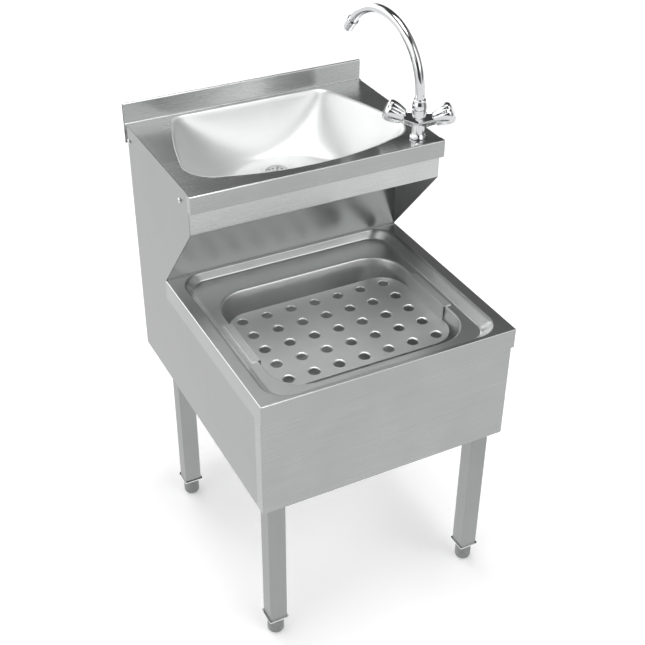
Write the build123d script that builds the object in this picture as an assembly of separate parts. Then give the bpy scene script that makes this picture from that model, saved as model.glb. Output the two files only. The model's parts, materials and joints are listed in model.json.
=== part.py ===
from build123d import *
import os
from math import cos, sin, sqrt, radians

# Floor-standing steel sink unit: a hand basin on a raised rear deck and a deep bucket sink on a lower
# front deck, on four square legs. Millimetres, +Z up, -Y is the front. The origin is on the floor,
# under the middle of the unit's plan.

# ---- driving dimensions -------------------------------------------------------------------------
WIDTH = 500.0                 # outside, over the deck lips
DEPTH = 600.0                 # lower lip to the back of the upstand
SHEET = 1.2                   # stainless sheet
SEAM = 0.2                    # gap where two sheets lie face to face
HALF = WIDTH / 2
FRONT = -DEPTH / 2
REAR = DEPTH / 2

DECK_Z = 840.0                # top of the upper deck
UPSTAND = 40.0                # rear upstand above the upper deck
UPSTAND_GAP = 6.0             # front face to rear face of the folded upstand
UPSTAND_TAIL_Z = 800.0        # lower end of the fold behind the unit
UPPER_LIP_Y = FRONT + 268.0   # front face of the upper deck's lip
UPPER_LIP = 33.0
APRON_Y = FRONT + 282.0       # front face of the apron under the upper lip
APRON_BOTTOM = 759.0
SPLASH_Y = FRONT + 430.0      # front face of the upright panel behind the lower deck
SPLASH_TOP = 704.0

LOWER_Z = 587.0               # top of the lower deck's border
LOWER_LIP = 39.0
LEDGE_Z = 570.0               # flat ledge inside the pressed recess
BODY_BOTTOM = 347.0
BODY_INSET = 6.0              # front panel behind the lower lip
PANEL_X = HALF - SHEET - SEAM # outer face of the side panels
PANEL_REAR = REAR - 13.0
CORNER_RETURN = 25.0          # front panel's return along each side
RETURN = 15.0                 # side panels' returns along the foot and the rear edge
FLANGE = 38.0                 # upper deck's flanges inside the side panels
SCREW_Y = (FRONT + 318.0, FRONT + 577.0)
SCREW_Z = DECK_Z - 28.0
SCREW_HOLE_R = 2.2
SCREW_HEAD_R = 4.6
SCREW_HEAD = 3.4              # height of the screw heads

LEG = 35.0                    # square leg tube
LEG_WALL = 1.5
LEG_OUT_X = HALF - 18.0       # outer faces of the legs
LEG_FRONT_Y = FRONT + 23.0    # front face of the front legs
LEG_REAR_Y = FRONT + 494.0    # rear face of the rear legs
LEG_TOP = 556.0
CAP_Z = 42.0                  # underside of the leg end caps
CAP = 40.0                    # end cap flange
CAP_THICK = 3.0
FOOT_R = 16.0
STUD_R = 5.0
STUD = 50.0                   # stud above the cap's underside
PLUG = 28.0                   # cap's plug inside the tube
RAIL_Z = (BODY_BOTTOM + SHEET + SEAM, BODY_BOTTOM + 60.0)
RAIL_WALL = 1.5
REAR_RAIL_Y = PANEL_REAR - 24.0

# ---- hand basin ---------------------------------------------------------------------------------
BASIN_FRONT_Y = FRONT + 288.0
BASIN_BACK_Y = FRONT + 585.0
BASIN_HALF_FRONT = 221.0      # half width at the front corners
BASIN_HALF_BACK = 170.0       # half width at the back corners
BASIN_DEPTH = 94.0
BASIN_ROLL = 6.0              # rolled edge at the deck
SIDE_WALL = (0.42, 48.0)      # slope of the wall, then how far its dished foot reaches inwards
FRONT_WALL = (0.30, 44.0)
BACK_WALL = (0.31, 31.0)
BASIN_DROPS = (0.0, 0.6, 2.5, 10.0, 28.0, 48.0, 68.0, 82.0, 90.0, BASIN_DEPTH)
FRONT_CORNER = (51.0, 28.0, 87.0)   # start from the side, set-back of the start, end from the front
BACK_CORNER = (30.0, 25.0)          # start from the side, end from the back
CORNER_GROWTH = 0.9           # how much the back corners open out towards the floor
SIDE_BOW = 5.5                # outward bow of the side edges
SIDE_LENGTH = 185.0           # straight run of those edges, front to back
BASIN_WASTE = (0.0, FRONT + 462.0)

# ---- bucket sink --------------------------------------------------------------------------------
BOWL_SIZE = (378.0, 316.0)
BOWL_Y = FRONT + 202.0        # middle of the bowl, front to back
BOWL_R = 66.0
BOWL_DEPTH = 200.0
BOWL_DRAFT = 6.0
BOWL_FLOOR_R = 30.0
BOWL_RIM_R = 4.0
RECESS = (454.0, 418.0)       # recess at the border
RECESS_Y = FRONT + 217.5
RECESS_R = 46.0
RECESS_EDGE_R = 3.6           # soft edges of the recess
LEDGE = (420.0, 396.0)        # recess at its ledge
LEDGE_Y = FRONT + 224.0
LEDGE_R = 37.0

# ---- basket -------------------------------------------------------------------------------------
PLATE_Z = 542.0               # top of the perforated plate
PLATE = (372.0, 246.0)
PLATE_R = 52.0
HOLE_PITCH = (50.0, 49.0)
HOLE_COUNT = (7, 5)
HOLE_R = 10.0
DIMPLE_R = 12.3
DIMPLE_DROP = 3.2
DIMPLE_RIM = 1.5              # flat around each dimple that blends into the plate
FLAP = 125.0                  # length of the basket's side walls
FLAP_FLANGE = 17.0

# ---- waste fittings -----------------------------------------------------------------------------
WASTE_HOLE_R = 26.0
WASTE_FLANGE_R = 35.0
WASTE_TAIL_R = 20.0
WASTE_LENGTH = 84.0           # gasket to the end of the tail

# ---- tap ----------------------------------------------------------------------------------------
TAP_XY = (211.0, FRONT + 301.0)
TAP_AXIS_Z = DECK_Z + 26.4    # where the two valve axes cross the upright axis
ARM_TURN = -33.5              # direction of the cold arm, seen from above
ARM_RISE = 25.0               # upward tilt of the valve axes
ARM_START = 15.0              # bottom of the valve's bore, along its axis
ARM_END = 29.5                # end of each arm, along its axis
ARM_HALF = 13.5               # half diagonal of the arm's diamond section at its end
HUB_HALF = (15.0, 18.0)       # half width and half height of the diamond at the middle
HUB_Z = DECK_Z + 32.0         # middle of that diamond
COLUMN_R = (11.5, 13.0)       # body below and above the arms
BASE_R = 14.8                 # foot of the body
SOCKET_Z = DECK_Z + 57.0      # top of the body's spout socket
SOCKET = 24.0                 # depth of the socket
COLLAR_R = (13.5, 10.8)       # widest part and top of the spout collar
COLLAR_Z = DECK_Z + 75.0      # top of the spout collar
SPOUT_R = 8.6
SPOUT_WALL = 1.0
SPOUT_TURN = 95.6             # direction of the spout at rest, seen from above
SPOUT_FOOT = SOCKET_Z - 22.0  # lower end of the spout's tube
SPOUT_RISE_Z = DECK_Z + 79.5  # where the spout's arc begins
SPOUT_ARC_R = 122.0
SPOUT_SWEEP = 142.0
NOZZLE = 23.0
NOZZLE_R = (11.2, 10.2)       # at the tube, at the outlet
SCREEN_R = 8.9                # bore for the flow straightener
HANDLE_START = 31.3           # along the valve axis
HANDLE_END = 67.2
HANDLE_R = (14.5, 20.0)       # inner end, outer end
FLUTE = 0.34                  # radius of the handle's flutes as a part of the handle's radius
CAP_R = 12.5                  # index cap in the handle's end
SHANK_R = 10.8
SHANK_BORE_R = 8.7
SHANK = 40.0                  # threaded length below the deck's top
SEAL = 1.0                    # thickness of the seal under the body
TAIL_R = 4.0
TAIL_OFFSET = 4.4             # inlet tails from the tap's upright axis
VALVE_R = 8.0
SPINDLE_R = 4.0
SPINDLE_START = 20.0          # inner end of the spindle, along the valve axis
SCREW_R = 2.5
SEAL_GROOVES = (18.0, 7.0)    # below the socket's top
FIT = 0.1                     # radial clearance of a turning fit


def save(shape, name):
    export_step(shape, os.path.join("parts", name + ".step"))


def block(x, y, z):
    """A box from three (low, high) spans."""
    size = [b - a for a, b in (x, y, z)]
    middle = [(a + b) / 2 for a, b in (x, y, z)]
    return Pos(*middle) * Box(*size)


def mirrored(spans):
    """The same (low, high) span on the other side of X = 0."""
    return (-spans[1], -spans[0])


def disc(radius, low, high, centre=(0.0, 0.0)):
    """An upright cylinder from z = low to z = high."""
    return Pos(centre[0], centre[1], (low + high) / 2) * Cylinder(radius, high - low)


def ring(outer, inner, low, high, centre=(0.0, 0.0)):
    return disc(outer, low, high, centre) - disc(inner, low - 1, high + 1, centre)


def folded(points, x, radius=2.0, thickness=SHEET):
    """A sheet folded along (y, z) points of its middle, as long as the span x."""
    section = trace(FilletPolyline(*points, radius=radius), line_width=thickness)
    return Pos(x[0], 0, 0) * extrude(Plane.YZ * section, amount=x[1] - x[0])


def hexagon(across, low, high, bore, centre=(0.0, 0.0)):
    """A hexagon nut with a plain bore."""
    nut = extrude(RegularPolygon(across / 2, 6, major_radius=False), amount=high - low)
    return Pos(centre[0], centre[1], low) * nut - disc(bore, low - 1, high + 1, centre)


def rounded(size, radius, z, y):
    """A rounded rectangle face, square to Z."""
    return Pos(0, y, z) * RectangleRounded(size[0], size[1], radius)


# ---- decks and panels ---------------------------------------------------------------------------
def wall_offset(drop, wall):
    """How far a basin wall has come inwards at a given drop: rolled edge, slope and dished foot."""
    slope, dish = wall
    roll = min(BASIN_ROLL, sqrt(2 * BASIN_ROLL * drop))
    return roll + slope * drop + dish * (1 - sqrt(1 - (drop / BASIN_DEPTH) ** 2))


def basin_outline(drop, skin=0.0):
    """The basin's plan outline at a given drop below the deck, moved out by the skin."""
    side = wall_offset(drop, SIDE_WALL) - skin
    half_front = BASIN_HALF_FRONT - side
    half_back = BASIN_HALF_BACK - side
    front_y = BASIN_FRONT_Y + wall_offset(drop, FRONT_WALL) - skin
    back_y = BASIN_BACK_Y - wall_offset(drop, BACK_WALL) + skin
    growth = 1 + CORNER_GROWTH * drop / BASIN_DEPTH
    along_back, down_side = [growth * reach for reach in BACK_CORNER]
    along_front, set_back, up_side = FRONT_CORNER
    side_length = back_y - down_side - front_y - up_side
    bow = SIDE_BOW * side_length / SIDE_LENGTH

    def half(sign):
        back_end = (sign * (half_back - along_back), back_y)
        back_corner = (sign * (half_back - 0.285 * along_back), back_y - 0.3 * down_side)
        side_top = (sign * half_back, back_y - down_side)
        side_end = (sign * half_front, front_y + up_side)
        side_middle = (sign * ((half_front + half_back) / 2 + bow), (side_top[1] + side_end[1]) / 2)
        front_corner = (sign * (half_front - 0.31 * along_front), front_y + 0.54 * up_side)
        front_end = (sign * (half_front - along_front), front_y + set_back)
        return (ThreePointArc(back_end, back_corner, side_top)
                + ThreePointArc(side_top, side_middle, side_end)
                + ThreePointArc(side_end, front_corner, front_end)), back_end, front_end

    left, left_back, left_front = half(-1)
    right, right_back, right_front = half(1)
    front_arc = ThreePointArc(left_front, (0, front_y), right_front)
    outline = left + right + front_arc + Line(left_back, right_back)
    return Pos(0, 0, DECK_Z - drop) * make_face(outline)


def basin_sections(skin=0.0):
    """Plan outlines from the rim to the floor, for a smooth pressed form."""
    return [Pos(0, 0, -skin) * basin_outline(drop, skin) for drop in BASIN_DROPS]


def hand_basin():
    outer = loft(basin_sections(SHEET)) + extrude(basin_outline(0), amount=-SHEET)
    floor_z = DECK_Z - BASIN_DEPTH
    return outer - loft(basin_sections()) - disc(WASTE_HOLE_R, floor_z - 5, floor_z + 5, BASIN_WASTE)


def upper_deck():
    """Deck with a front lip, a folded upstand at the back and flanges inside the side panels."""
    mid = SHEET / 2
    upstand_y = REAR - UPSTAND_GAP + mid
    top_z = DECK_Z + UPSTAND - mid
    deck = folded([(UPPER_LIP_Y + mid, DECK_Z - UPPER_LIP), (UPPER_LIP_Y + mid, DECK_Z - mid),
                   (upstand_y, DECK_Z - mid), (upstand_y, top_z),
                   (REAR - mid, top_z), (REAR - mid, UPSTAND_TAIL_Z)], (-HALF, HALF))
    between = PANEL_X - SHEET - SEAM
    for side in (1, -1):
        spans = [(between, HALF + 1), (between - SHEET, between), (HALF - SHEET, HALF)]
        notch, flange, lip_end = spans if side > 0 else [mirrored(s) for s in spans]
        deck -= block(notch, (APRON_Y - SEAM, PANEL_REAR + SEAM), (DECK_Z - 40, DECK_Z + 1))
        deck += block(flange, (APRON_Y + 6, PANEL_REAR - 6), (DECK_Z - FLANGE, DECK_Z - SHEET / 2))
        deck += block(lip_end, (UPPER_LIP_Y + mid, APRON_Y - SEAM), (DECK_Z - UPPER_LIP, DECK_Z - mid))
    deck -= extrude(basin_outline(0), amount=SHEET * 2, both=True)
    return deck - disc(SHANK_R + 0.6, DECK_Z - 5, DECK_Z + 5, TAP_XY) - panel_screws(SCREW_HOLE_R)


def panel_screws(radius):
    """Cylinders on the axes of the screws that hold the side panels to the upper deck."""
    screws = [Pos(side * PANEL_X, y, SCREW_Z) * Rot(0, 90, 0) * Cylinder(radius, 20)
              for side in (-1, 1) for y in SCREW_Y]
    return Compound(children=screws)


def upper_apron():
    mid = SHEET / 2
    between = PANEL_X - SHEET - SEAM
    return folded([(APRON_Y + mid, DECK_Z - SHEET - SEAM), (APRON_Y + mid, APRON_BOTTOM + mid),
                   (APRON_Y + 16, APRON_BOTTOM + mid), (APRON_Y + 16, APRON_BOTTOM + 12)],
                  (-between, between))


def side_panel(side):
    """Panel with returns along its foot and its rear edge."""
    start_y = FRONT + BODY_INSET + CORNER_RETURN + SEAM
    border_z = LOWER_Z - SHEET - SEAM
    outline = [(start_y, BODY_BOTTOM), (start_y, border_z), (SPLASH_Y, border_z), (SPLASH_Y, LOWER_Z),
               (APRON_Y, APRON_BOTTOM), (APRON_Y, DECK_Z), (PANEL_REAR, DECK_Z),
               (PANEL_REAR, BODY_BOTTOM)]
    face = Plane.YZ * make_face(Polyline(*outline, close=True))
    panel = Pos(PANEL_X - SHEET, 0, 0) * extrude(face, amount=SHEET)
    inner = (PANEL_X - RETURN, PANEL_X - SHEET / 2)
    panel += block(inner, (start_y, PANEL_REAR), (BODY_BOTTOM, BODY_BOTTOM + SHEET))
    panel += block(inner, (PANEL_REAR - SHEET, PANEL_REAR), (BODY_BOTTOM, DECK_Z - 40))
    panel = panel if side > 0 else mirror(panel, about=Plane.YZ)
    return panel - panel_screws(SCREW_HOLE_R)


def splash_panel():
    """Upright panel behind the lower deck, with a narrow foot on the deck."""
    mid = SHEET / 2
    between = PANEL_X - SHEET - SEAM
    return folded([(SPLASH_Y - 4, LOWER_Z + mid), (SPLASH_Y + mid, LOWER_Z + mid),
                   (SPLASH_Y + mid, SPLASH_TOP), (SPLASH_Y - 14, SPLASH_TOP)], (-between, between), 1.2)


def recess_loft(grow, top_z, low_z):
    """The pressed recess as a solid, moved out by grow."""
    outer = rounded([a + 2 * grow for a in RECESS], RECESS_R + grow, top_z, RECESS_Y)
    inner = rounded([a + 2 * grow for a in LEDGE], LEDGE_R + grow, low_z, LEDGE_Y)
    return loft([outer, inner])


def lower_deck():
    """Deck with lips on three sides, a pressed recess and the bucket sink's opening."""
    rear_y = SPLASH_Y - SEAM
    tray = block((-HALF, HALF), (FRONT, rear_y), (LOWER_Z - LOWER_LIP, LOWER_Z))
    tray = fillet(tray.edges().filter_by(Axis.Z).group_by(Axis.Y)[0], 2.0)
    front_edges = tray.edges().group_by(Axis.Z)[-1].sort_by(Axis.Y)[:-1]
    tray = fillet(front_edges, 2.0)
    hollow = block((-HALF + SHEET, HALF - SHEET), (FRONT + SHEET, REAR), (0, LOWER_Z - SHEET))
    deck = tray - hollow
    deck += recess_loft(SHEET, LOWER_Z - SHEET / 2, LEDGE_Z - SHEET)
    deck -= recess_loft(0, LOWER_Z + 0.01, LEDGE_Z)
    deck = fillet(recess_edges(deck), RECESS_EDGE_R)
    return deck - extrude(bowl_face(BOWL_RIM_R, LEDGE_Z), amount=5, both=True)


def recess_edges(deck):
    """The recess's upper and lower edges on the show side of the lower deck."""
    inside = [e for e in deck.edges() if abs(e.center().X) < RECESS[0] / 2 + 1
              and FRONT + 5 < e.center().Y < SPLASH_Y - 2]
    return [e for e in inside if abs(e.bounding_box().min.Z - e.bounding_box().max.Z) < 0.01
            and min(abs(e.center().Z - LOWER_Z), abs(e.center().Z - LEDGE_Z)) < 0.05]


def bowl_face(grow, z):
    return rounded([a + 2 * grow for a in BOWL_SIZE], BOWL_R + grow, z, BOWL_Y)


def bowl_form(skin):
    """The bucket sink's bowl as a solid: rolled rim, drafted walls and rounded floor."""
    steps = [radians(a) for a in (0, 30, 60, 90)]
    rim = [bowl_face(BOWL_RIM_R * (1 - sin(a)) + skin, LEDGE_Z - skin - BOWL_RIM_R * (1 - cos(a)))
           for a in steps]
    walls_z = LEDGE_Z - skin - BOWL_RIM_R
    floor_z = LEDGE_Z - BOWL_DEPTH - skin
    walls = loft([bowl_face(skin, walls_z), bowl_face(skin - BOWL_DRAFT, floor_z)])
    walls = fillet(walls.edges().group_by(Axis.Z)[0], BOWL_FLOOR_R + skin)
    return loft(rim) + walls


def bucket_bowl():
    shell = bowl_form(SHEET) + extrude(bowl_face(BOWL_RIM_R, LEDGE_Z), amount=-SHEET)
    floor_z = LEDGE_Z - BOWL_DEPTH
    return shell - bowl_form(0) - disc(WASTE_HOLE_R, floor_z - 5, floor_z + 5, (0, BOWL_Y))


def front_panel():
    """Front of the body, returned along both sides and under the foot."""
    front_y = FRONT + BODY_INSET
    rear_y = front_y + CORNER_RETURN
    top_z = LOWER_Z - SHEET - 2
    panel = block((-PANEL_X, PANEL_X), (front_y, rear_y), (BODY_BOTTOM, top_z))
    panel = fillet(panel.edges().filter_by(Axis.Z).group_by(Axis.Y)[0], 2.0)
    panel -= block((-PANEL_X + SHEET, PANEL_X - SHEET), (front_y + SHEET, rear_y + 1),
                   (BODY_BOTTOM + SHEET, top_z + 1))
    return panel - block((-PANEL_X + RETURN, PANEL_X - RETURN), (LEG_FRONT_Y - 2, rear_y + 1),
                         (BODY_BOTTOM - 1, BODY_BOTTOM + SHEET + 1))


# ---- under-frame --------------------------------------------------------------------------------
def channel(x, y, z, wall, open_face):
    """A box section with one long side left open: '-X', '+X' or '-Y'."""
    inner = {"-X": ((x[0] - 1, x[1] - wall), (y[0] - 1, y[1] + 1), (z[0] + wall, z[1] - wall)),
             "+X": ((x[0] + wall, x[1] + 1), (y[0] - 1, y[1] + 1), (z[0] + wall, z[1] - wall)),
             "-Y": ((x[0] - 1, x[1] + 1), (y[0] - 1, y[1] - wall), (z[0] + wall, z[1] - wall))}
    return block(x, y, z) - block(*inner[open_face])


def leg_rail(side):
    """Channel inside a side panel's foot that carries its two legs."""
    x = (LEG_OUT_X + SEAM, PANEL_X - SHEET - SEAM)
    y = (FRONT + BODY_INSET + CORNER_RETURN + 2, REAR_RAIL_Y - SEAM)
    if side > 0:
        return channel(x, y, RAIL_Z, RAIL_WALL, "-X")
    return channel(mirrored(x), y, RAIL_Z, RAIL_WALL, "+X")


def rear_rail():
    between = PANEL_X - SHEET - SEAM
    return channel((-between, between), (REAR_RAIL_Y, PANEL_REAR - SHEET - SEAM), RAIL_Z, RAIL_WALL, "-Y")


def leg_centre(side, rear):
    y = LEG_REAR_Y - LEG / 2 if rear else LEG_FRONT_Y + LEG / 2
    return (side * (LEG_OUT_X - LEG / 2), y)


def leg(centre):
    bottom = CAP_Z + CAP_THICK + SEAM
    tube = RectangleRounded(LEG, LEG, 3.0) - RectangleRounded(LEG - 2 * LEG_WALL, LEG - 2 * LEG_WALL, 1.5)
    return Pos(*centre, bottom) * extrude(tube, amount=LEG_TOP - bottom)


def leg_cap(centre):
    """Moulded end cap: a flange under the tube and a plug inside it, bored for the foot's stud."""
    flange = extrude(RectangleRounded(CAP, CAP, 3.5), amount=CAP_THICK)
    flange = fillet(flange.edges().group_by(Axis.Z)[0], 0.8)
    inside = LEG - 2 * LEG_WALL - SEAM
    plug = extrude(RectangleRounded(inside, inside, 1.4), amount=PLUG)
    return (Pos(*centre, CAP_Z) * (flange + plug)
            - disc(STUD_R + 0.3, CAP_Z - 1, CAP_Z + PLUG + 1, centre))


def foot(centre):
    """Adjustable bullet foot on its threaded stud."""
    top = CAP_Z - SEAM
    profile = make_face(Line((0, 0), (9, 0)) + ThreePointArc((9, 0), (13.6, 3.4), (FOOT_R, 9))
                        + Line((FOOT_R, 9), (FOOT_R, top - 1)) + Line((FOOT_R, top - 1), (FOOT_R - 1, top))
                        + Line((FOOT_R - 1, top), (0, top)) + Line((0, top), (0, 0)))
    pad = revolve(Plane.XZ * profile, Axis.Z)
    return Pos(*centre, 0) * pad + disc(STUD_R, top - 1, CAP_Z + STUD, centre)


# ---- basket -------------------------------------------------------------------------------------
def dimple():
    """One drawn hole's collar, centred on the origin with the plate's top at z = 0."""
    rim, foot_r = DIMPLE_R + DIMPLE_RIM, HOLE_R + 1
    top = ThreePointArc((DIMPLE_R, 0), (DIMPLE_R - 1.6, -0.8), (HOLE_R, -DIMPLE_DROP))
    under = ThreePointArc((foot_r, -DIMPLE_DROP), (DIMPLE_R - 0.8, -SHEET - 0.7), (rim, -SHEET))
    collar = (Polyline((rim, -SHEET), (rim, 0), (DIMPLE_R, 0)) + top
              + Line((HOLE_R, -DIMPLE_DROP), (foot_r, -DIMPLE_DROP)) + under)
    return revolve(Plane.XZ * make_face(collar), Axis.Z)


def basket():
    """Perforated plate that hangs in the bucket sink on two side walls with flanges."""
    plate = extrude(rounded(PLATE, PLATE_R, PLATE_Z, BOWL_Y), amount=-SHEET)
    holes = Pos(0, BOWL_Y, PLATE_Z) * GridLocations(*HOLE_PITCH, *HOLE_COUNT)
    plate -= [place * Pos(0, 0, -SHEET / 2) * Cylinder(DIMPLE_R + DIMPLE_RIM / 2, 3) for place in holes]
    plate += [place * dimple() for place in holes]
    wall_x = PLATE[0] / 2 - SHEET / 2
    mid_z = PLATE_Z - SHEET / 2
    flange_z = LEDGE_Z + SEAM + SHEET / 2
    profile = FilletPolyline((wall_x - 6, mid_z), (wall_x, mid_z), (wall_x, flange_z),
                             (wall_x + FLAP_FLANGE, flange_z), radius=2.0)
    flap = extrude(Plane.XZ * trace(profile, line_width=SHEET), amount=FLAP / 2, both=True)
    flap = Pos(0, BOWL_Y, 0) * flap
    return plate - flap_relief() + flap + mirror(flap, about=Plane.YZ)


def flap_relief():
    """Strips along the plate's edges that the folded walls replace."""
    strips = [Pos(side * (PLATE[0] / 2), BOWL_Y, PLATE_Z - SHEET / 2) * Box(6, FLAP, SHEET * 2)
              for side in (-1, 1)]
    return Compound(children=strips)


# ---- waste fittings -----------------------------------------------------------------------------
def waste_strainer(centre, floor_z):
    """Pressed flange with a sunk sieve and a neck through the floor."""
    flange = ring(WASTE_FLANGE_R, WASTE_HOLE_R - 4, floor_z + SEAM / 2, floor_z + 1.8, centre)
    flange = fillet(flange.edges().group_by(Axis.Z)[-1].sort_by(SortBy.RADIUS)[-1], 1.2)
    neck = ring(WASTE_HOLE_R - 1, WASTE_HOLE_R - 4, floor_z - 14, floor_z + 1, centre)
    sieve = disc(WASTE_HOLE_R - 3, floor_z - 3, floor_z - 1.8, centre)
    slots = [Pos(*centre, floor_z) * Rot(0, 0, turn) * Pos(reach, 0, 0) * Cylinder(2.6, 20)
             for reach, count in ((9, 6), (17, 12)) for turn in [i * 360 / count for i in range(count)]]
    return flange + neck + sieve - slots - disc(2.6, floor_z - 9, floor_z + 9, centre)


def waste_gasket(centre, floor_z):
    low = floor_z - SHEET - 3
    return ring(WASTE_FLANGE_R - 1, WASTE_HOLE_R, low, floor_z - SHEET, centre)


def waste_body(centre, floor_z):
    """Cup under the gasket with a threaded tail for the trap."""
    high = floor_z - SHEET - 3
    cup = disc(WASTE_FLANGE_R - 1, high - 6, high, centre)
    cup += disc(WASTE_HOLE_R + 3, high - 34, high - 5, centre)
    tail = disc(WASTE_TAIL_R, high - 54, high - 33, centre)
    tail += disc(WASTE_TAIL_R - 1, high - WASTE_LENGTH, high - 53, centre)
    body = cup + tail - disc(WASTE_HOLE_R, high - 28, high + 1, centre)
    return body - disc(WASTE_TAIL_R - 3.5, high - WASTE_LENGTH - 1, high - 27, centre)


def waste_nut(centre, floor_z):
    """Coupling nut run up the tail, ready for the trap."""
    high = floor_z - SHEET - 3 - 36
    grips = [Pos(*centre, high - 8) * Rot(0, 0, turn) * Pos(WASTE_TAIL_R + 6, 0, 0) * Box(5, 4, 16)
             for turn in range(0, 360, 30)]
    nut = ring(WASTE_TAIL_R + 6, WASTE_TAIL_R, high - 16, high, centre) + grips
    return nut - disc(WASTE_TAIL_R, high - 20, high + 1, centre)


# ---- tap ----------------------------------------------------------------------------------------
def arm_plane(turn):
    """Work plane on the tap's upright axis whose normal is a valve axis."""
    rise = radians(ARM_RISE)
    heading = radians(turn)
    normal = (cos(heading) * cos(rise), sin(heading) * cos(rise), sin(rise))
    return Plane(origin=(*TAP_XY, TAP_AXIS_Z), x_dir=(-sin(heading), cos(heading), 0), z_dir=normal)


def along(turn, shape):
    return arm_plane(turn) * shape


def hub_plane(turn):
    """Upright plane through the tap's axis, square to one arm seen from above."""
    heading = radians(turn)
    return Plane(origin=(*TAP_XY, HUB_Z), x_dir=(-sin(heading), cos(heading), 0),
                 z_dir=(cos(heading), sin(heading), 0))


def diamond(half_width, half_height, corner):
    outline = Polyline((half_width, 0), (0, half_height), (-half_width, 0), (0, -half_height), close=True)
    face = make_face(outline)
    return fillet(face.vertices(), corner)


def tap_body(turns):
    """One-hole mixer body: base flange, column, two raised arms and the spout's socket."""
    base = DECK_Z + SEAL
    low_r, high_r = COLUMN_R
    column = make_face(Polyline((0, base), (BASE_R, base), (BASE_R, base + 3), (BASE_R - 1.6, base + 5),
                                (low_r, base + 8), (low_r, SOCKET_Z - 17), (high_r, SOCKET_Z - 14),
                                (high_r, SOCKET_Z - 1), (high_r - 1, SOCKET_Z), (0, SOCKET_Z), close=True))
    body = Pos(*TAP_XY, 0) * revolve(Plane.XZ * column, Axis.Z)
    for turn in turns:
        hub = hub_plane(turn) * diamond(*HUB_HALF, 3)
        end = along(turn, Pos(0, 0, ARM_END) * diamond(ARM_HALF, ARM_HALF, 3))
        body += loft([hub, end])
    for turn in turns:
        body -= along(turn, disc(VALVE_R, ARM_START, ARM_END + 5))
    body -= disc(SPOUT_R + FIT, SOCKET_Z - SOCKET, SOCKET_Z + 1, TAP_XY)
    return body - disc(SHANK_BORE_R, DECK_Z, DECK_Z + 20, TAP_XY)


def tap_seal():
    return ring(BASE_R - 0.3, SHANK_R + 0.4, DECK_Z, DECK_Z + SEAL, TAP_XY)


def tap_shank():
    return ring(SHANK_R, SHANK_BORE_R, DECK_Z - SHANK, DECK_Z + SEAL, TAP_XY)


def tap_washer():
    """Slotted clamp washer under the deck."""
    washer = ring(SHANK_R + 6, SHANK_R + 0.5, DECK_Z - SHEET - 3, DECK_Z - SHEET, TAP_XY)
    x, y = TAP_XY
    return washer - block((x, x + 30), (y - SHANK_R, y + SHANK_R), (DECK_Z - 9, DECK_Z))


def tap_nut():
    high = DECK_Z - SHEET - 3
    return hexagon(30, high - 10, high, SHANK_R, TAP_XY)


def inlet_tail(side):
    """Short plain tail for a supply hose, screwed into the body through the shank."""
    heading = radians(ARM_TURN)
    offset = side * TAIL_OFFSET
    centre = (TAP_XY[0] + offset * cos(heading), TAP_XY[1] + offset * sin(heading))
    low = DECK_Z - SHANK - 24
    return (ring(TAIL_R, TAIL_R - 1, low, low + 22, centre)
            + ring(TAIL_R - 0.4, TAIL_R - 1, low + 21, DECK_Z + 19, centre))


def spout_collar():
    """Screwed collar that keeps the spout in its socket."""
    x, y = TAP_XY
    low, high = SOCKET_Z + SEAM / 2, COLLAR_Z
    wide, narrow = COLLAR_R
    section = make_face(Polyline((SPOUT_R + 0.3, low), (wide - 0.5, low), (wide, low + 1),
                                 (wide, low + 8), (narrow + 0.8, high - 3), (narrow + 0.6, high - 1),
                                 (narrow, high), (SPOUT_R + 0.3, high), close=True))
    return Pos(x, y, 0) * revolve(Plane.XZ * section, Axis.Z)


def spout_path():
    """Middle line of the swan neck, in the plane of the spout, from the socket to the nozzle."""
    riser = Line((0, SPOUT_FOOT), (0, SPOUT_RISE_Z))
    arc = CenterArc((SPOUT_ARC_R, SPOUT_RISE_Z), SPOUT_ARC_R, 180, -SPOUT_SWEEP)
    return riser, arc


def spout_plane():
    """Upright plane through the tap's axis that holds the swan neck: local X is outward, local Y is up."""
    heading = radians(SPOUT_TURN)
    outward = (cos(heading), sin(heading), 0)
    return Plane(origin=(*TAP_XY, 0), x_dir=outward, z_dir=(sin(heading), -cos(heading), 0))


def nozzle_plane():
    """Work plane at the end of the swan neck, with its normal along the flow."""
    sweep = radians(SPOUT_SWEEP)
    frame = spout_plane()
    out, up = SPOUT_ARC_R * (1 - cos(sweep)), SPOUT_RISE_Z + SPOUT_ARC_R * sin(sweep)
    end = frame.from_local_coords(Vector(out, up))
    ahead = frame.from_local_coords(Vector(out + sin(sweep), up + cos(sweep)))
    return Plane(origin=end, z_dir=ahead - end)


def spout():
    riser, arc = spout_path()
    path = spout_plane() * (riser + arc)
    section = Plane(origin=(*TAP_XY, SPOUT_FOOT)) * (Circle(SPOUT_R) - Circle(SPOUT_R - SPOUT_WALL))
    tube = sweep(section, path=path)
    for low in SEAL_GROOVES:
        tube -= ring(SPOUT_R + 1, SPOUT_R - 0.6, SOCKET_Z - low, SOCKET_Z - low + 2.2, TAP_XY)
    return tube


def spout_seals():
    """Two sealing rings in the grooves at the spout's foot."""
    rings = [ring(SPOUT_R + 0.02, SPOUT_R - 0.55, SOCKET_Z - low + 0.1, SOCKET_Z - low + 2.1, TAP_XY)
             for low in SEAL_GROOVES]
    return Compound(children=rings)


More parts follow.
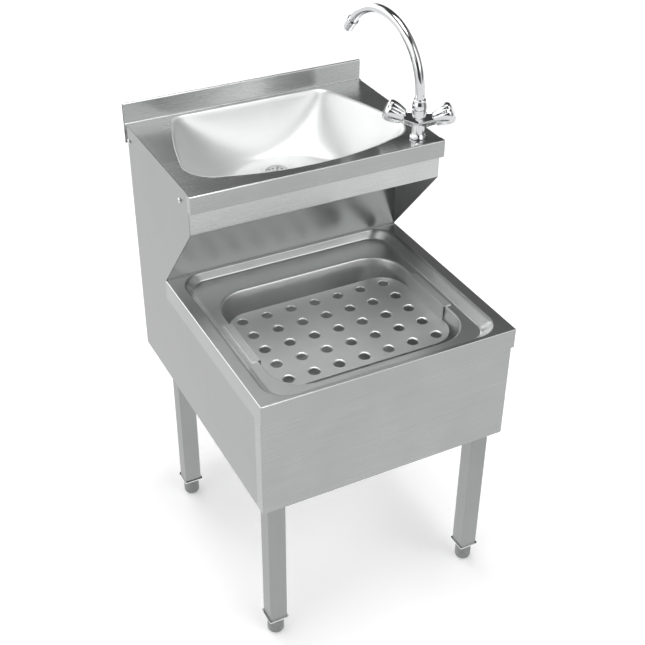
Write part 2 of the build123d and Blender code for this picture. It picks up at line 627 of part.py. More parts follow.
def nozzle_housing():
    """Screwed nozzle with grooves for gripping."""
    top_r, end_r = NOZZLE_R
    outline = Polyline((0, -3), (top_r - 0.6, -3), (top_r, -2.4), (top_r, 3), (end_r, 6),
                       (end_r, NOZZLE - 1), (end_r - 1, NOZZLE), (0, NOZZLE), close=True)
    barrel = revolve(Plane.XZ * make_face(outline), Axis.Z)
    barrel -= disc(SPOUT_R + 0.15, -4, 3)
    barrel -= disc(SPOUT_R - 1, 2, NOZZLE + 1)
    barrel -= disc(SCREEN_R, NOZZLE - 12, NOZZLE + 1)
    grooves = [Rot(0, 0, turn) * Pos(end_r + 1.2, 0, NOZZLE / 2 + 3) * Cylinder(1.6, NOZZLE - 13)
               for turn in range(0, 360, 60)]
    return nozzle_plane() * (barrel - grooves)


def nozzle_screen():
    """Flow straightener inside the nozzle."""
    screen = disc(SCREEN_R - 0.1, NOZZLE - 11.9, NOZZLE - 1)
    cells = [Pos(x, y, NOZZLE - 6) * Box(2.0, 2.0, 20) for x in (-5, -2.5, 0, 2.5, 5)
             for y in (-5, -2.5, 0, 2.5, 5) if x * x + y * y < 40]
    return nozzle_plane() * (screen - cells)


def valve(turn):
    """Screw-in headwork: a barrel in the arm and a collar on its end, bored for the spindle."""
    barrel = disc(VALVE_R, ARM_START + 0.1, ARM_END + 0.1)
    barrel += disc(VALVE_R + 1.4, ARM_END + 0.1, ARM_END + 1.4)
    return along(turn, barrel - disc(SPINDLE_R + FIT, SPINDLE_START - 1, ARM_END + 5))


def spindle(turn):
    rod = disc(SPINDLE_R, SPINDLE_START, HANDLE_END - 9)
    return along(turn, rod - disc(SCREW_R, HANDLE_END - 22, HANDLE_END))


def lobed(radius, z):
    """Cross-section of the handle: a circle with four flutes."""
    flute = radius * FLUTE
    flutes = [Rot(0, 0, 45 + 90 * i) * Pos(radius + flute * 0.42, 0) * Circle(flute) for i in range(4)]
    section = Circle(radius) - flutes
    return Pos(0, 0, z) * fillet(section.vertices(), radius * 0.09)


def handle(turn):
    """Tapered four-lobe knob on the spindle, dished at its outer end for the index cap."""
    knob = loft([lobed(HANDLE_R[0], HANDLE_START), lobed(HANDLE_R[1], HANDLE_END)])
    knob = fillet(knob.edges().group_by(Axis.Z)[-1], 1.6)
    knob -= disc(CAP_R, HANDLE_END - 3, HANDLE_END + 1)
    knob -= disc(SPINDLE_R, HANDLE_START - 1, HANDLE_END - 9)
    return along(turn, knob - disc(SCREW_R, HANDLE_END - 10, HANDLE_END + 1)
                 - disc(SCREW_R + 2, HANDLE_END - 6, HANDLE_END))


def handle_screw(turn):
    head = disc(SCREW_R + 1.9, HANDLE_END - 6, HANDLE_END - 3.2)
    head -= Pos(0, 0, HANDLE_END - 3.5) * (Box(1, 9, 1.6) + Box(9, 1, 1.6))
    return along(turn, head + disc(SCREW_R, HANDLE_END - 21, HANDLE_END - 5))


def index_cap(turn):
    """Snap-in cap with a shallow dome."""
    cap = disc(CAP_R - 0.05, HANDLE_END - 2.9, HANDLE_END + 0.6)
    return along(turn, fillet(cap.edges().group_by(Axis.Z)[-1], 1.8))


# ---- fixings ------------------------------------------------------------------------------------
def deck_screws():
    """Pan-head screws through the side panels into the upper deck's flanges."""
    screws = []
    for side in (-1, 1):
        for y in SCREW_Y:
            head = Pos(0, 0, SCREW_HEAD / 2 + SEAM) * Cylinder(SCREW_HEAD_R, SCREW_HEAD)
            head = fillet(head.edges().group_by(Axis.Z)[-1], 2.0)
            head -= Pos(0, 0, SCREW_HEAD) * (Box(1.0, 5, 1.6) + Box(5, 1.0, 1.6))
            screw = head + Pos(0, 0, -4.4) * Cylinder(SCREW_HOLE_R - 0.2, 9.4)
            screws.append(Pos(side * PANEL_X, y, SCREW_Z) * Rot(0, side * 90, 0) * screw)
    return Compound(children=screws)


def deck_nuts():
    """Hexagon nuts on the deck screws, inside the flanges."""
    low = 2 * SHEET + SEAM + 0.1
    nuts = []
    for side in (-1, 1):
        for y in SCREW_Y:
            nut = hexagon(7, low, low + 3, SCREW_HOLE_R - 0.15)
            nuts.append(Pos(side * PANEL_X, y, SCREW_Z) * Rot(0, -side * 90, 0) * nut)
    return Compound(children=nuts)


def main():
    os.makedirs("parts", exist_ok=True)
    save(upper_deck(), "upper_deck")
    save(hand_basin(), "hand_basin")
    save(upper_apron(), "upper_apron")
    save(splash_panel(), "splash_panel")
    save(lower_deck(), "lower_deck")
    save(bucket_bowl(), "bucket_bowl")
    save(front_panel(), "front_panel")
    save(rear_rail(), "rear_rail")
    save(deck_screws(), "deck_screws")
    save(deck_nuts(), "deck_nuts")
    save(basket(), "basket")
    for side, name in ((-1, "left"), (1, "right")):
        save(side_panel(side), "side_panel_" + name)
        save(leg_rail(side), "leg_rail_" + name)
        for rear, row in ((False, "front"), (True, "rear")):
            centre = leg_centre(side, rear)
            save(leg(centre), f"leg_{row}_{name}")
            save(leg_cap(centre), f"leg_cap_{row}_{name}")
            save(foot(centre), f"foot_{row}_{name}")
    sinks = {"basin": (BASIN_WASTE, DECK_Z - BASIN_DEPTH), "bowl": ((0, BOWL_Y), LEDGE_Z - BOWL_DEPTH)}
    for name, (centre, floor_z) in sinks.items():
        save(waste_strainer(centre, floor_z), name + "_strainer")
        save(waste_gasket(centre, floor_z), name + "_waste_gasket")
        save(waste_body(centre, floor_z), name + "_waste_body")
        save(waste_nut(centre, floor_z), name + "_waste_nut")
    turns = {"hot": ARM_TURN + 180, "cold": ARM_TURN}
    save(tap_body(turns.values()), "tap_body")
    save(tap_seal(), "tap_seal")
    save(tap_shank(), "tap_shank")
    save(tap_washer(), "tap_washer")
    save(tap_nut(), "tap_nut")
    save(spout_collar(), "spout_collar")
    save(spout(), "spout")
    save(spout_seals(), "spout_seals")
    save(nozzle_housing(), "nozzle_housing")
    save(nozzle_screen(), "nozzle_screen")
    for name, turn in turns.items():
        save(valve(turn), name + "_valve")
        save(spindle(turn), name + "_spindle")
        save(handle(turn), name + "_handle")
        save(handle_screw(turn), name + "_handle_screw")
        save(index_cap(turn), name + "_index_cap")
        save(inlet_tail(1 if name == "cold" else -1), name + "_inlet_tail")


main()
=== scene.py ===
"""Combined hand basin and bucket sink in brushed stainless steel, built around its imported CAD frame."""
import json
import math

import bmesh
import bpy
from mathutils import Matrix, Vector


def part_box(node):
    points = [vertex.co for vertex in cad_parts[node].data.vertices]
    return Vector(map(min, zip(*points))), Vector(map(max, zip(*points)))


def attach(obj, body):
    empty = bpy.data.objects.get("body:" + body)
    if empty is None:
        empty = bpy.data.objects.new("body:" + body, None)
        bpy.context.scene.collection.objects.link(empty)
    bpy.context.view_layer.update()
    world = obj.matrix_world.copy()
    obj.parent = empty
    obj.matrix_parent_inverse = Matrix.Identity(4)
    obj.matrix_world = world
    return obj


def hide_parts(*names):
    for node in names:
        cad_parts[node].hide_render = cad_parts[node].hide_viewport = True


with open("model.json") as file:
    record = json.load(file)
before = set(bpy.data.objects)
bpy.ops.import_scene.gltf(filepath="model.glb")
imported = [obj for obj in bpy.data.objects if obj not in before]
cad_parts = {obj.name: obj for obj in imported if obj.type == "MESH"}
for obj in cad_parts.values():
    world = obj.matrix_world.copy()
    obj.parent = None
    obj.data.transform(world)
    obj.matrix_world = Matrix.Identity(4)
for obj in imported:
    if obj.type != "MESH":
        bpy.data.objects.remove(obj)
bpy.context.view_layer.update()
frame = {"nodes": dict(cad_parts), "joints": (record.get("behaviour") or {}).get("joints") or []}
scene = bpy.context.scene
nodes = frame["nodes"]
joints = {j["name"]: j for j in frame["joints"]}


# ---- camera ---------------------------------------------------------------------------------------
CAMERA_PLACE = Vector((-0.8175, -1.6039, 1.7270))
AZIMUTH = math.radians(-27.49)
ELEVATION = math.radians(34.40)
ROLL = math.radians(0.47)
LENS = 62.97


def make_camera():
    """Stands where the object is seen from its left front, a little above it."""
    flat = math.cos(ELEVATION)
    back = Vector((math.sin(AZIMUTH) * flat, -math.cos(AZIMUTH) * flat, math.sin(ELEVATION)))
    level = (-back).cross(Vector((0, 0, 1))).normalized()
    upright = level.cross(-back)
    right = level * math.cos(ROLL) + upright * math.sin(ROLL)
    up = upright * math.cos(ROLL) - level * math.sin(ROLL)
    camera = bpy.data.objects.new("camera", bpy.data.cameras.new("camera"))
    camera.data.lens = LENS
    camera.data.sensor_width = 36.0
    camera.data.clip_start = 0.05
    turn = Matrix((right, up, back)).transposed().to_4x4()
    camera.matrix_world = Matrix.Translation(CAMERA_PLACE) @ turn
    scene.collection.objects.link(camera)
    scene.camera = camera


# ---- node helpers ---------------------------------------------------------------------------------
class Shader:
    """Short calls for building one node tree."""

    def __init__(self, tree):
        self.tree = tree

    def add(self, kind, **settings):
        node = self.tree.nodes.new("ShaderNode" + kind)
        for name, value in settings.items():
            setattr(node, name, value)
        return node

    def link(self, source, socket):
        self.tree.links.new(source, socket)

    def put(self, socket, value):
        """Sets a socket to a value, or links it if the value is an output."""
        if isinstance(value, bpy.types.NodeSocket):
            self.link(value, socket)
        else:
            socket.default_value = value

    def math(self, operation, a, b=0.0):
        node = self.add("Math", operation=operation)
        self.put(node.inputs[0], a)
        self.put(node.inputs[1], b)
        return node.outputs[0]

    def span(self, value, low, high, to_low=0.0, to_high=1.0, smooth=True):
        """Maps low..high to to_low..to_high, held at the ends."""
        node = self.add("MapRange", interpolation_type="SMOOTHSTEP" if smooth else "LINEAR")
        self.put(node.inputs[0], value)
        for socket, number in zip(node.inputs[1:5], (low, high, to_low, to_high)):
            self.put(socket, number)
        return node.outputs[0]

    def place(self, scale=(1, 1, 1)):
        """Object coordinates, in metres, scaled."""
        coordinates = self.add("TexCoord")
        mapping = self.add("Mapping")
        mapping.inputs["Scale"].default_value = scale
        self.link(coordinates.outputs["Object"], mapping.inputs["Vector"])
        return mapping.outputs[0]

    def noise(self, where, scale, detail=2.0, rough=0.5, distortion=0.0):
        node = self.add("TexNoise")
        self.put(node.inputs["Vector"], where)
        node.inputs["Scale"].default_value = scale
        node.inputs["Detail"].default_value = detail
        node.inputs["Roughness"].default_value = rough
        node.inputs["Distortion"].default_value = distortion
        return node.outputs["Fac"]

    def tint(self, colour, amount):
        """The colour made lighter or darker by an amount around 1."""
        node = self.add("Mix", data_type="RGBA", blend_type="MULTIPLY")
        node.inputs["Factor"].default_value = 1.0
        node.inputs["A"].default_value = (*colour, 1)
        grey = self.add("CombineColor")
        for socket in grey.inputs:
            self.put(socket, amount)
        self.link(grey.outputs[0], node.inputs["B"])
        return node.outputs["Result"]

    def bump(self, height, distance, strength=1.0):
        node = self.add("Bump")
        node.inputs["Strength"].default_value = strength
        node.inputs["Distance"].default_value = distance
        self.link(height, node.inputs["Height"])
        return node.outputs[0]


def new_material(name):
    """A material with one Principled shader: returns the material, its Shader and the shader node."""
    material = bpy.data.materials.new(name)
    material.use_nodes = True
    tree = material.node_tree
    tree.nodes.clear()
    shader = Shader(tree)
    surface = shader.add("BsdfPrincipled")
    output = shader.add("OutputMaterial")
    shader.link(surface.outputs[0], output.inputs[0])
    return material, shader, surface


# ---- materials ------------------------------------------------------------------------------------
STRETCH = 90.0                  # how much longer than wide a brush mark is
UPWARD_PAINTED_LIGHT = 1.5                    # how much brighter an upward sheet face is painted: painted light on tops
STEEL_HAZE = 0.04               # how much the handling haze lightens and darkens sheet
SATIN_HAZE = 0.03


def pressed_painted_light(s, normal, height):
    """Painted light: extra brightness painted on the pressed area below a height, most of it on walls that
    face sideways.
    """
    place = s.add("SeparateXYZ")
    s.link(s.place(), place.inputs[0])
    below = s.span(place.outputs["Z"], height - 0.006, height - 0.001, 1.0, 0.0)
    sideways = s.span(s.math("ABSOLUTE", normal.outputs["X"]), 0.15, 0.45, 0.3, 0.95)
    upwards = s.span(normal.outputs["Z"], 0.04, 0.25)
    return s.math("MULTIPLY", below, s.math("MULTIPLY", upwards, sideways))


def brushed_steel(name, colour, rough, along, spread=0.06, anisotropy=0.6, pressed=None):
    """Sheet brushed along one axis: long fine marks in colour, gloss and relief, and faint handling
    haze. Upward faces are painted brighter than the rest as painted light, and so is what is pressed below
    a height."""
    material, s, surface = new_material(name)
    scale = [1.0 / STRETCH if i == "XYZ".index(along) else 1.0 for i in range(3)]
    marks = s.place(scale=scale)
    fine = s.noise(marks, 900.0, 3.0, 0.6)
    broad = s.noise(marks, 110.0, 2.0, 0.5)
    haze = s.noise(s.place(), 5.0, 3.0, 0.55, 0.4)
    streak = s.math("ADD", s.math("MULTIPLY", fine, 0.75), s.math("MULTIPLY", broad, 0.25))
    lighter = s.span(streak, 0.25, 0.75, 1.0 - spread, 1.0 + spread, smooth=False)
    clouded = s.math("MULTIPLY", lighter, s.span(haze, 0.3, 0.7, 1.0 - STEEL_HAZE, 1.0 + STEEL_HAZE))
    normal = s.add("SeparateXYZ")
    s.link(s.add("NewGeometry").outputs["Normal"], normal.inputs[0])
    # painted light: faces that point up get a lighter colour
    polished = s.span(normal.outputs["Z"], 0.2, 0.8, 1.0, UPWARD_PAINTED_LIGHT)
    # painted light on the pressed recess below a height
    if pressed is not None:
        polished = s.math("ADD", polished, pressed_painted_light(s, normal, pressed))
    s.link(s.tint(colour, s.math("MULTIPLY", clouded, polished)), surface.inputs["Base Color"])
    dull = s.math("ADD", s.span(streak, 0.3, 0.7, rough - 0.02, rough + 0.02, smooth=False),
                  s.span(haze, 0.35, 0.75, -0.01, 0.02))
    s.link(dull, surface.inputs["Roughness"])
    s.link(s.bump(fine, 0.00002, 0.2), surface.inputs["Normal"])
    surface.inputs["Metallic"].default_value = 0.98
    surface.inputs["Anisotropic"].default_value = anisotropy
    across = s.add("CombineXYZ")
    for socket, axis in zip(across.inputs, "XYZ"):
        socket.default_value = 0.013 if axis == along else 0.7
    s.link(across.outputs[0], surface.inputs["Tangent"])
    return material


def satin_steel(name, colour, rough, metallic=1.0):
    """Pressed and satin-polished steel: an even soft sheen with faint polishing clouds."""
    material, s, surface = new_material(name)
    haze = s.noise(s.place(), 7.0, 2.0, 0.5, 0.4)
    polish = s.noise(s.place(scale=(0.06, 1.0, 1.0)), 260.0, 2.0, 0.5)
    shade = s.math("MULTIPLY", s.span(haze, 0.3, 0.7, 1 - SATIN_HAZE, 1 + SATIN_HAZE),
                   s.span(polish, 0.3, 0.7, 0.993, 1.007))
    s.link(s.tint(colour, shade), surface.inputs["Base Color"])
    dull = s.math("ADD", s.span(polish, 0.3, 0.7, rough - 0.004, rough + 0.004),
                  s.span(haze, 0.3, 0.7, -0.012, 0.015))
    s.link(dull, surface.inputs["Roughness"])
    surface.inputs["Metallic"].default_value = metallic
    return material


def plated_chrome(name, colour, rough):
    """Polished plating with faint water marks and wiping haze."""
    material, s, surface = new_material(name)
    where = s.place()
    marks = s.noise(where, 220.0, 4.0, 0.6, 0.8)
    haze = s.noise(where, 38.0, 2.0, 0.5)
    s.link(s.tint(colour, s.span(haze, 0.3, 0.7, 0.96, 1.02)), surface.inputs["Base Color"])
    dull = s.math("ADD", s.span(marks, 0.5, 0.72, rough, rough + 0.09), s.span(haze, 0.4, 0.7, 0.0, 0.03))
    s.link(dull, surface.inputs["Roughness"])
    s.link(s.bump(haze, 0.0002, 0.12), surface.inputs["Normal"])
    surface.inputs["Metallic"].default_value = 1.0
    return material


def turned_metal(name, colour, rough):
    """Turned fitting: fine lathe rings, a little tarnish."""
    material, s, surface = new_material(name)
    rings = s.noise(s.place(scale=(0.05, 0.05, 1.0)), 1500.0, 2.0)
    tarnish = s.noise(s.place(), 70.0, 4.0, 0.6)
    s.link(s.tint(colour, s.span(tarnish, 0.3, 0.75, 1.05, 0.72)), surface.inputs["Base Color"])
    s.link(s.span(tarnish, 0.3, 0.7, rough - 0.05, rough + 0.14), surface.inputs["Roughness"])
    s.link(s.bump(rings, 0.0001, 0.4), surface.inputs["Normal"])
    surface.inputs["Metallic"].default_value = 1.0
    return material


def moulded_plastic(name, colour, rough, dust=0.12):
    """Moulded plastic with fine grain and a trace of dust."""
    material, s, surface = new_material(name)
    where = s.place()
    relief = s.noise(where, 1100.0, 3.0, 0.6)
    dusty = s.noise(where, 45.0, 4.0, 0.6)
    s.link(s.tint(colour, s.span(dusty, 0.3, 0.7, 1 - dust, 1 + dust)), surface.inputs["Base Color"])
    s.link(s.span(dusty, 0.3, 0.7, rough - 0.05, rough + 0.1), surface.inputs["Roughness"])
    s.link(s.bump(relief, 0.00015, 0.5), surface.inputs["Normal"])
    surface.inputs["Specular IOR Level"].default_value = 0.45
    return material


STEEL = (0.40, 0.41, 0.405)
LOWER_DECK_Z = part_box("lower_deck")[1][2]
materials = {
    "sheet_x": brushed_steel("sheet_brushed_across", STEEL, 0.26, "X"),
    "sheet_y": brushed_steel("sheet_brushed_deep", STEEL, 0.30, "Y"),
    "sheet_z": brushed_steel("sheet_brushed_upright", (0.37, 0.378, 0.374), 0.30, "Z"),
    # a lighter copy of the sheet steel for the right side panel: painted light on its shaded inner face
    "inner": brushed_steel("sheet_right_painted_lighter", (0.55, 0.555, 0.553), 0.40, "Z"),
    # the lower deck gets painted light in its pressed recess and on the recess walls
    "lower": brushed_steel("sheet_lower_deck", STEEL, 0.30, "X", spread=0.04, anisotropy=0.5,
                           pressed=LOWER_DECK_Z),
    # a lighter copy of the sheet steel for the apron: painted light
    "apron": brushed_steel("sheet_apron_painted_lighter", (0.56, 0.565, 0.565), 0.28, "X"),
    # a darker copy of the sheet steel for the splash panel: painted shade
    "splash": brushed_steel("sheet_splash_painted_darker", (0.28, 0.29, 0.287), 0.24, "X"),
    "leg": brushed_steel("leg_channel", (0.32, 0.33, 0.327), 0.32, "Z"),
    "satin": satin_steel("basin_satin", (0.72, 0.725, 0.725), 0.42, metallic=0.8),
    "bowl": satin_steel("bowl_satin", (0.76, 0.765, 0.765), 0.38, metallic=0.9),
    "bright": satin_steel("bright_steel", (0.70, 0.70, 0.71), 0.16),
    "chrome": plated_chrome("chrome_plating", (0.64, 0.645, 0.655), 0.05),
    "brass": turned_metal("turned_brass", (0.66, 0.48, 0.24), 0.28),
    "rubber": moulded_plastic("black_rubber", (0.028, 0.028, 0.028), 0.7),
    "white": moulded_plastic("white_waste_plastic", (0.78, 0.78, 0.76), 0.42, dust=0.05),
    "foot": moulded_plastic("foot_grey_plastic", (0.22, 0.226, 0.226), 0.45),
}
CAD_LOOKS = {
    "sheet_x": ["upper_deck", "front_panel", "rear_rail"],
    "lower": ["lower_deck"],
    "apron": ["upper_apron"],
    "splash": ["splash_panel"],
    "sheet_y": ["leg_rail_left", "leg_rail_right"],
    "sheet_z": ["side_panel_left"],
    "inner": ["side_panel_right"],
    "leg": [n for n in nodes if n.startswith("leg_") and "rail" not in n and "cap" not in n],
    "satin": ["hand_basin", "basin_strainer"],
    "bowl": ["bucket_bowl", "basket"],
    "bright": ["deck_screws", "deck_nuts", "bowl_strainer", "tap_washer", "hot_handle_screw",
               "cold_handle_screw"] + [n for n in nodes if n.startswith("leg_cap")],
    "chrome": ["tap_body", "spout_collar", "spout", "nozzle_housing", "hot_handle", "cold_handle",
               "hot_index_cap", "cold_index_cap", "hot_valve", "cold_valve"],
    "brass": ["tap_shank", "tap_nut", "hot_spindle", "cold_spindle", "hot_inlet_tail", "cold_inlet_tail"],
    "rubber": ["basin_waste_gasket", "bowl_waste_gasket", "tap_seal", "spout_seals"],
    "white": ["basin_waste_body", "basin_waste_nut", "bowl_waste_body", "bowl_waste_nut", "nozzle_screen"],
    "foot": [n for n in nodes if n.startswith("foot_")],
}


def dress_cad():
    """Gives each CAD node its material."""
    for look, names in CAD_LOOKS.items():
        for name in names:
            for slot in nodes[name].material_slots:
                slot.material = materials[look]


# ---- pieces made here -----------------------------------------------------------------------------
def add_piece(name, rings, look, body, node):
    """A smooth mesh through closed rings of points, riding on a body in place of a CAD node."""
    mesh = bpy.data.meshes.new(name)
    mesh.from_pydata([point for ring in rings for point in ring], [], ring_faces(len(rings), len(rings[0])))
    mesh.update()
    work = bmesh.new()
    work.from_mesh(mesh)
    bmesh.ops.recalc_face_normals(work, faces=work.faces)
    work.to_mesh(mesh)
    work.free()
    for face in mesh.polygons:
        face.use_smooth = True
    piece = bpy.data.objects.new(name, mesh)
    scene.collection.objects.link(piece)
    mesh.materials.append(materials[look])
    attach(piece, body)
    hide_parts(node)
    return piece


def ring_faces(count, size):
    """Quads between neighbouring rings of the same size."""
    faces = []
    for row in range(count - 1):
        for i in range(size):
            j = (i + 1) % size
            faces.append((row * size + i, row * size + j, (row + 1) * size + j, (row + 1) * size + i))
    return faces


def arc_points(start, middle, end, count):
    """Points along the arc through three points, without its last one."""
    (ax, ay), (bx, by), (cx, cy) = start, middle, end
    d = 2 * (ax * (by - cy) + bx * (cy - ay) + cx * (ay - by))
    ux = ((ax * ax + ay * ay) * (by - cy) + (bx * bx + by * by) * (cy - ay)
          + (cx * cx + cy * cy) * (ay - by)) / d
    uy = ((ax * ax + ay * ay) * (cx - bx) + (bx * bx + by * by) * (ax - cx)
          + (cx * cx + cy * cy) * (bx - ax)) / d
    first, half, last = [math.atan2(y - uy, x - ux) for x, y in (start, middle, end)]
    turn = math.remainder(half - first, math.tau) + math.remainder(last - half, math.tau)
    radius = math.hypot(ax - ux, ay - uy)
    return [(ux + radius * math.cos(first + turn * i / count),
             uy + radius * math.sin(first + turn * i / count)) for i in range(count)]


# the hand basin: its rim at the front and back ends of the sides, and its walls (slope, dished foot)
DECK_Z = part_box("hand_basin")[1][2]
BASIN_FRONT, BASIN_BACK = -0.012, 0.285
HALF_FRONT, HALF_BACK = 0.221, 0.170
BASIN_DEPTH = 0.094
BASIN_ROLL = 0.006
SIDE_WALL, FRONT_WALL, BACK_WALL = (0.42, 0.048), (0.30, 0.044), (0.31, 0.031)
FRONT_CORNER = (0.051, 0.028, 0.087)            # reach across, and its two ends behind the front
FRONT_CORNER_MIDDLE = (0.0158, 0.047)
BACK_CORNER = (0.030, 0.025)                    # reach across and forwards
BACK_CORNER_MIDDLE = (0.285, 0.3)               # as parts of the reaches
CORNER_GROWTH = 0.9                             # growth of the back corners by the floor
SIDE_BOW, SIDE_LENGTH = 0.0055, 0.185
SOFTENING = 210                                 # smoothing passes at the floor
WASTE_R = 0.026
SHEET = 0.0012


def wall_offset(drop, wall):
    """How far a basin wall has come inwards at a drop: rolled edge, slope and dished foot."""
    slope, dish = wall
    leave = BASIN_ROLL * (1 - slope / math.hypot(slope, 1))
    rolled = min(drop, leave)
    roll = math.sqrt(2 * BASIN_ROLL * rolled - rolled ** 2)
    return roll + slope * max(0.0, drop - leave) + dish * (1 - math.sqrt(1 - (drop / BASIN_DEPTH) ** 2))


def smoothed(ring):
    """The ring with each point moved to the middle of itself and its neighbours."""
    following = ring[1:] + ring[:1]
    return [((ring[i - 1][0] + ring[i][0] + following[i][0]) / 3,
             (ring[i - 1][1] + ring[i][1] + following[i][1]) / 3) for i in range(len(ring))]


def basin_ring(drop):
    """The basin's outline at a drop, with corners that soften towards the floor."""
    side, front, back = [wall_offset(drop, wall) for wall in (SIDE_WALL, FRONT_WALL, BACK_WALL)]
    half_front, half_back = HALF_FRONT - side, HALF_BACK - side
    front_y, back_y = BASIN_FRONT + front, BASIN_BACK - back
    growth = 1 + CORNER_GROWTH * drop / BASIN_DEPTH
    along, down = BACK_CORNER[0] * growth, BACK_CORNER[1] * growth
    side_front, side_back = front_y + FRONT_CORNER[2], back_y - down
    bow = SIDE_BOW * (side_back - side_front) / SIDE_LENGTH
    back_start = (half_back - along, back_y)
    back_middle = (half_back - BACK_CORNER_MIDDLE[0] * along, back_y - BACK_CORNER_MIDDLE[1] * down)
    side_start = (half_back, side_back)
    side_middle = ((half_front + half_back) / 2 + bow, (side_back + side_front) / 2)
    side_end = (half_front, side_front)
    front_middle = (half_front - FRONT_CORNER_MIDDLE[0], front_y + FRONT_CORNER_MIDDLE[1])
    front_end = (half_front - FRONT_CORNER[0], front_y + FRONT_CORNER[1])
    right = (arc_points(back_start, back_middle, side_start, 18)
             + arc_points(side_start, side_middle, side_end, 24)
             + arc_points(side_end, front_middle, front_end, 26))
    left = [(-x, y) for x, y in reversed(right[1:] + [front_end])]
    front_edge = arc_points(front_end, (0, front_y), (-front_end[0], front_end[1]), 44)
    back_edge = [(back_start[0] * (i / 15 - 1), back_y) for i in range(30)]
    ring = right + front_edge + left + back_edge
    for _ in range(int(SOFTENING * drop / BASIN_DEPTH)):
        ring = smoothed(ring)
    return [(x, y, DECK_Z - drop) for x, y in ring]


def basin_floor(edge, centre, steps=8):
    """Rings from the edge of the floor in to the round waste hole."""
    rings = []
    for step in range(1, steps + 1):
        part = step / steps
        ring = []
        for x, y, z in edge:
            reach = math.hypot(x - centre[0], y - centre[1])
            target = [c + (v - c) * WASTE_R / reach for c, v in zip(centre, (x, y))]
            ring.append((x + (target[0] - x) * part, y + (target[1] - y) * part, z))
        rings.append(ring)
    return rings


def make_basin():
    """The hand basin: one smooth pressing from its rolled edge to the waste hole."""
    drops = [BASIN_ROLL * (1 - math.cos(math.radians(a))) for a in range(0, 70, 10)]
    drops += [BASIN_DEPTH * math.sin(math.radians(a)) for a in range(5, 90, 4)] + [BASIN_DEPTH]
    rings = [basin_ring(drop) for drop in drops]
    low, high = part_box("basin_strainer")
    rings += basin_floor(rings[-1], ((low[0] + high[0]) / 2, (low[1] + high[1]) / 2))
    basin = add_piece("hand_basin_pressing", rings, "satin", "unit", "hand_basin")
    thick = basin.modifiers.new("sheet", "SOLIDIFY")
    thick.thickness = SHEET
    thick.offset = -1.0


# the knobs of the tap, measured along the valve axis from where the two axes cross
KNOB_START, KNOB_LENGTH, KNOB_R = 0.0313, 0.0359, 0.0200
LOBES, LOBE_DEPTH = 4, 0.17
RIM = 0.66                                      # inner edge of the lobes, as a part of the radius


def knob_profile():
    """The knob's outline, inner end first: (part of its length, part of its radius)."""
    outline = [(0.0, 0.24), (0.0, 0.62), (0.012, 0.69)]
    for i in range(9):
        outline.append((0.04 + 0.71 * i / 9, 0.725 + 0.275 * math.sin(math.pi / 2 * i / 9)))
    for i in range(9):
        turn = math.pi / 2 * i / 8
        outline.append((0.75 + 0.25 * math.sin(turn), RIM + 0.34 * math.cos(turn)))
    return outline + [(0.99, 0.64), (0.94, 0.635), (0.92, 0.62), (0.92, 0.15)]


def make_handle(side):
    """A four-lobe knob with softened ends on its valve axis, dished for the index cap."""
    joint = joints[side + "_handle_turn"]
    axis = Vector(joint["axis"]).normalized()
    origin = Vector(joint["pos_m"])
    across = axis.cross(Vector((0, 0, 1))).normalized()
    upright = across.cross(axis)
    rings = []
    for along, wide in knob_profile():
        lobe = LOBE_DEPTH * min(1.0, (wide - 0.64) / 0.12) if wide > RIM else 0.0
        middle = origin + axis * (KNOB_START + KNOB_LENGTH * along)
        ring = []
        for i in range(96):
            angle = math.tau * i / 96
            groove = max(0.0, math.cos(LOBES * (angle - math.pi / 4))) ** 1.6
            reach = KNOB_R * wide * (1 - lobe * groove)
            ring.append(tuple(middle + across * (reach * math.cos(angle))
                              + upright * (reach * math.sin(angle))))
        rings.append(ring)
    add_piece(side + "_handle_knob", rings, "chrome", side + "_handle_set", side + "_handle")


def make_pieces():
    """The pieces that stand in for a CAD node."""
    make_basin()
    for side in ("hot", "cold"):
        make_handle(side)


# ---- stage ----------------------------------------------------------------------------------------
def make_floor():
    """A plain pale floor, under the feet."""
    mesh = bpy.data.meshes.new("floor")
    grid = bmesh.new()
    bmesh.ops.create_grid(grid, x_segments=1, y_segments=1, size=12.0)
    grid.to_mesh(mesh)
    grid.free()
    floor = bpy.data.objects.new("floor", mesh)
    scene.collection.objects.link(floor)
    material, s, surface = new_material("pale_floor")
    speckle = s.noise(s.place(), 3.0, 3.0)
    s.link(s.tint((0.90, 0.90, 0.90), s.span(speckle, 0.3, 0.7, 0.99, 1.0)), surface.inputs["Base Color"])
    surface.inputs["Roughness"].default_value = 0.9
    surface.inputs["Specular IOR Level"].default_value = 0.1
    surface.inputs["Emission Color"].default_value = (1.0, 1.0, 1.0, 1.0)
    surface.inputs["Emission Strength"].default_value = 0.27
    mesh.materials.append(material)
    floor.visible_glossy = False


def patch(s, azimuth, height, middle, half, soft):
    """A soft-edged panel of the surround: 1 inside it, 0 outside."""
    across = s.math("ABSOLUTE", s.math("SUBTRACT", azimuth, middle[0]))
    upright = s.math("ABSOLUTE", s.math("SUBTRACT", height, middle[1]))
    return s.math("MULTIPLY", s.span(across, half[0], half[0] + soft, 1.0, 0.0),
                  s.span(upright, half[1], half[1] + soft, 1.0, 0.0))


# middle (azimuth from the back towards the right, height), half size and edge in degrees, strength
PANELS = [((-62, 22), (50, 16), 14, 2.2),
          ((-4, 12), (17, 12), 6, 3.0),
          ((160, 36), (26, 12), 12, 2.2),
          ((170, 5), (24, 12), 12, 0.9),
          ((100, 30), (18, 12), 14, 0.4),
          ((20, 88), (400, 10), 10, 3.4)]
GLOOM = 0.10
# the pale ground as the metal mirrors it, and the unlit part of it to the right and behind
GROUND = 1.36
REAR_SHADE = ((46, 50), (-45, 60), 12)
BACKDROP = (0.97, 0.97, 0.97, 1)


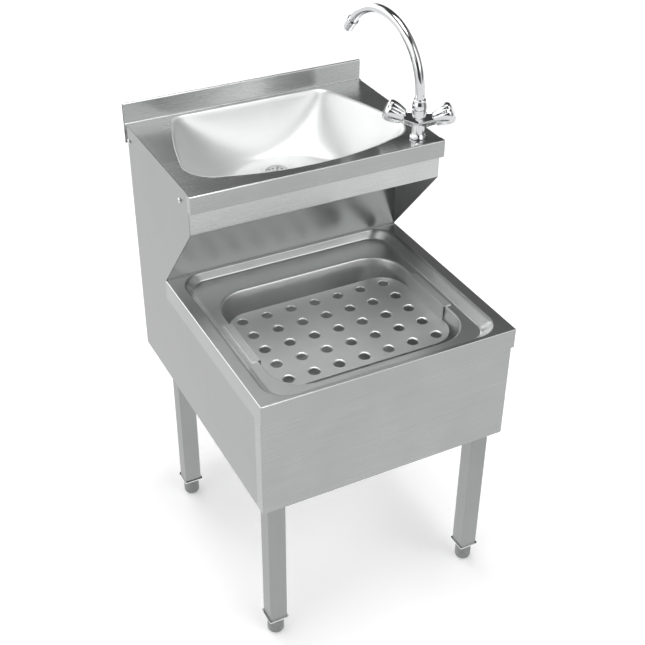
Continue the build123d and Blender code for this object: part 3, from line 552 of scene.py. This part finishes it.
def make_world():
    """Studio surround: bright panels to the left, in front and overhead, with darker gaps between."""
    world = bpy.data.worlds.new("studio")
    world.use_nodes = True
    tree = world.node_tree
    tree.nodes.clear()
    s = Shader(tree)
    direction = s.add("SeparateXYZ")
    s.link(s.add("TexCoord").outputs["Generated"], direction.inputs[0])
    x, y, z = direction.outputs
    azimuth = s.math("DEGREES", s.math("ARCTAN2", x, y))
    height = s.math("DEGREES", s.math("ARCSINE", z))
    level = GLOOM
    for middle, half, soft, strength in PANELS:
        panel = patch(s, azimuth, height, middle, half, soft)
        level = s.math("ADD", level, s.math("MULTIPLY", panel, strength))
    shade = s.math("MULTIPLY", patch(s, azimuth, height, *REAR_SHADE), 0.9)
    ground = s.math("MULTIPLY", s.math("SUBTRACT", 1.0, shade), GROUND)
    below = s.span(height, -3.0, 0.0, 1.0, 0.0)
    level = s.math("ADD", s.math("MULTIPLY", level, s.math("SUBTRACT", 1.0, below)),
                   s.math("MULTIPLY", ground, below))
    seen = s.add("Background")
    seen.inputs["Color"].default_value = BACKDROP
    lit = s.add("Background")
    s.link(level, lit.inputs["Strength"])
    mix = s.add("MixShader")
    s.link(s.add("LightPath").outputs["Is Camera Ray"], mix.inputs[0])
    s.link(lit.outputs[0], mix.inputs[1])
    s.link(seen.outputs[0], mix.inputs[2])
    s.link(mix.outputs[0], s.add("OutputWorld").inputs[0])
    scene.world = world


def make_light(name, place, target, size, power):
    """A square soft box aimed at a point."""
    data = bpy.data.lights.new(name, "AREA")
    data.energy = power
    data.size = size
    light = bpy.data.objects.new(name, data)
    light.location = place
    light.rotation_euler = (Vector(target) - Vector(place)).to_track_quat("-Z", "Y").to_euler()
    scene.collection.objects.link(light)


def make_lights():
    """A weak key light from the left front and a stronger one overhead."""
    make_light("key", (-1.6, -1.4, 2.9), (0, 0, 0.6), 1.6, 8)
    make_light("top", (0.15, 0.25, 3.2), (0, -0.1, 0.5), 1.2, 26)


# ---- the scene ------------------------------------------------------------------------------------
make_camera()
dress_cad()
make_pieces()
make_floor()
make_world()
make_lights()
scene.view_settings.view_transform = "Standard"
